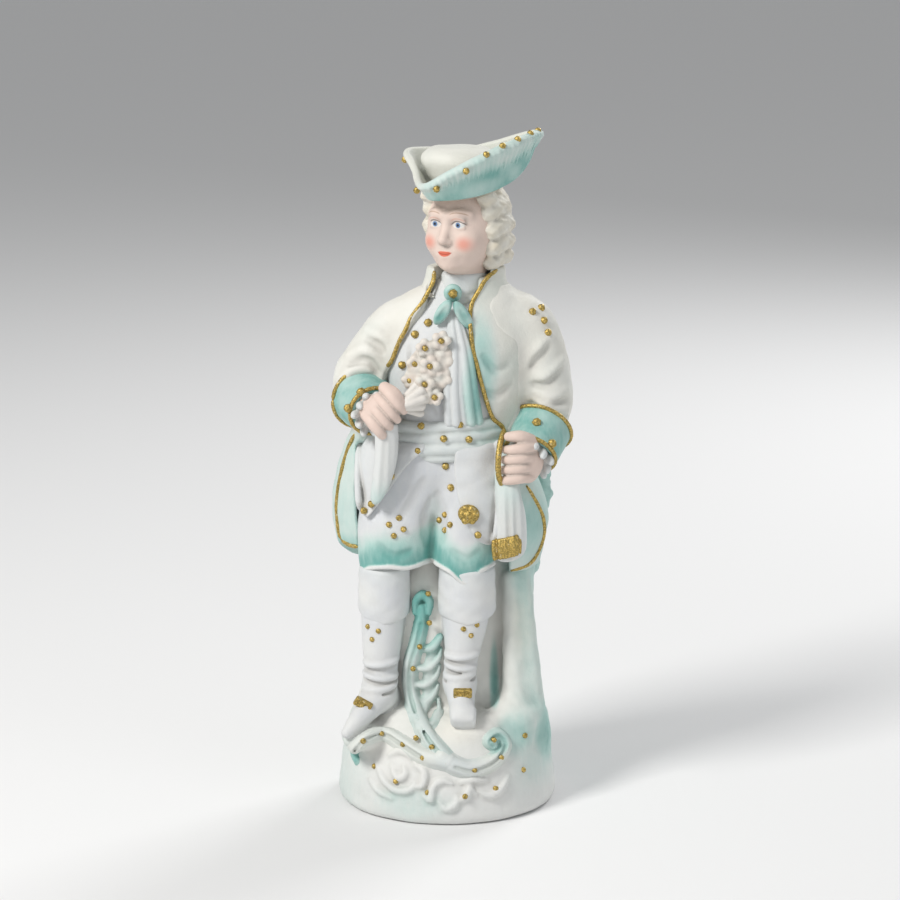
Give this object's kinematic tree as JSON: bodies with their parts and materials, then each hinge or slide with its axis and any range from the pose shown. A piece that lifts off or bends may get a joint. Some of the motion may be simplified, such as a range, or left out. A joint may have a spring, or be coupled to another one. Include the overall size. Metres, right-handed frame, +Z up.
{
  "type": "porcelain figurine",
  "caption": "Painted bisque porcelain figurine of a gallant in a three-cornered hat and long coat, standing on a scrolled mound against a tree stump.",
  "frame": {"origin": "middle of the mound's foot ring, on the surface that the figurine stands on", "axes": "+Z up, -Y the side that the figure faces, +X the figure's left"},
  "size_m": [0.1002, 0.0885, 0.2665],
  "materials": {
    "bisque": "matt unglazed porcelain, ivory white",
    "tinted_bisque": "matt porcelain with a pale green wash",
    "flesh_bisque": "matt porcelain painted in flesh tones",
    "hair_bisque": "matt porcelain painted pale blond",
    "gilt": "fired gilding, granular and slightly dull"
  },
  "bodies": {
    "root": {"base_shell": "bisque", "tree_stump": "bisque", "stump_branch": "bisque", "right_boot": "bisque", "left_boot": "bisque", "right_knee_cuff": "bisque", "left_knee_cuff": "bisque", "right_shoe_buckle": "gilt", "left_shoe_buckle": "gilt", "breeches": "tinted_bisque", "waistcoat": "bisque", "waistcoat_right_flap": "bisque", "waistcoat_left_flap": "bisque", "watch_fob": "gilt", "sash": "bisque", "sash_tail": "bisque", "sash_fringe": "gilt", "coat_body": "tinted_bisque", "coat_collar": "tinted_bisque", "coat_right_skirt": "tinted_bisque", "coat_left_skirt": "tinted_bisque", "coat_tails": "tinted_bisque", "right_sleeve": "bisque", "left_sleeve": "bisque", "right_cuff": "tinted_bisque", "left_cuff": "tinted_bisque", "right_wrist_frill": "bisque", "left_wrist_frill": "bisque", "right_hand": "flesh_bisque", "left_hand": "flesh_bisque", "handkerchief": "bisque", "posy": "bisque", "posy_wrap": "bisque", "neck_stock": "bisque", "cravat_bow": "tinted_bisque", "cravat_brooch": "gilt", "shirt_frill": "bisque", "head": "flesh_bisque", "wig": "hair_bisque", "wig_queue": "hair_bisque", "queue_ribbon": "tinted_bisque", "hat_crown": "bisque", "hat_brim": "tinted_bisque", "hat_plume": "bisque", "scroll_stem": "tinted_bisque", "scroll_right": "bisque", "scroll_left": "bisque", "scroll_foliage": "bisque", "waistcoat_buttons": "gilt", "right_cuff_buttons": "gilt", "left_cuff_buttons": "gilt", "sash_beads": "gilt", "breeches_buttons": "gilt", "thigh_beads": "gilt", "shoulder_beads": "gilt", "right_stocking_beads": "gilt", "left_stocking_beads": "gilt", "stem_beads": "gilt", "scroll_beads": "gilt", "base_beads": "gilt"}
  },
  "joints": []
}
